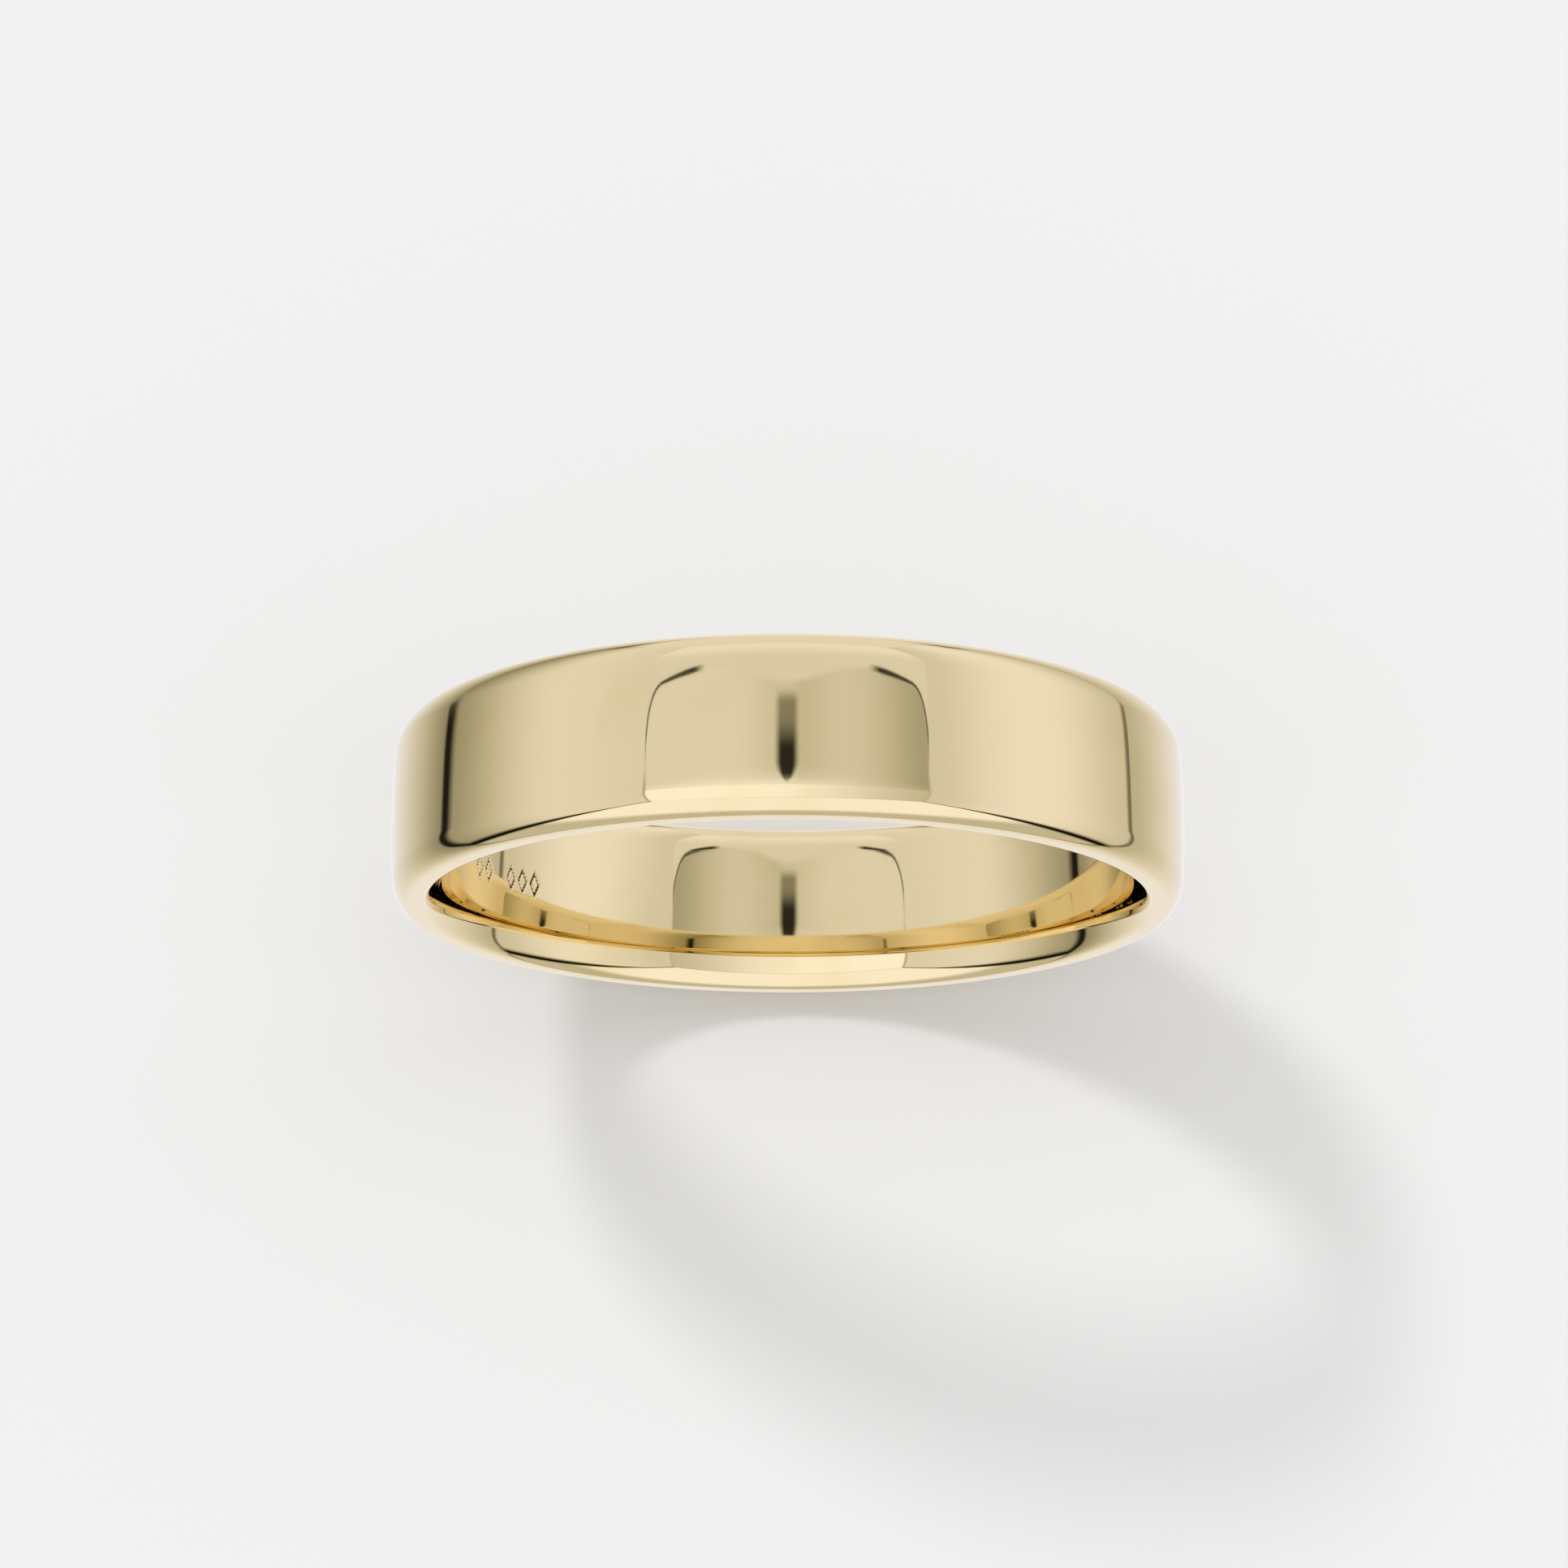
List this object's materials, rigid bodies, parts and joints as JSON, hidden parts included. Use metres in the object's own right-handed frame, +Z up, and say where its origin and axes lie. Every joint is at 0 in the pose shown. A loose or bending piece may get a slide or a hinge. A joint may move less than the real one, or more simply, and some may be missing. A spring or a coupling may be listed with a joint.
{
  "type": "wedding band",
  "caption": "Plain yellow gold wedding band with a flat outer face, rounded edges and a mirror polish, standing upright on its rim.",
  "frame": {"origin": "centre of the bore, on the finger axis and midway between the band's two sides", "axes": "+Y runs along the finger axis, +Z is up with the band standing upright on its rim, and +X is to the right"},
  "size_m": [0.0226, 0.005, 0.0226],
  "materials": {
    "yellow_gold": "mirror polish"
  },
  "bodies": {
    "root": {"band": "yellow_gold"}
  },
  "joints": []
}
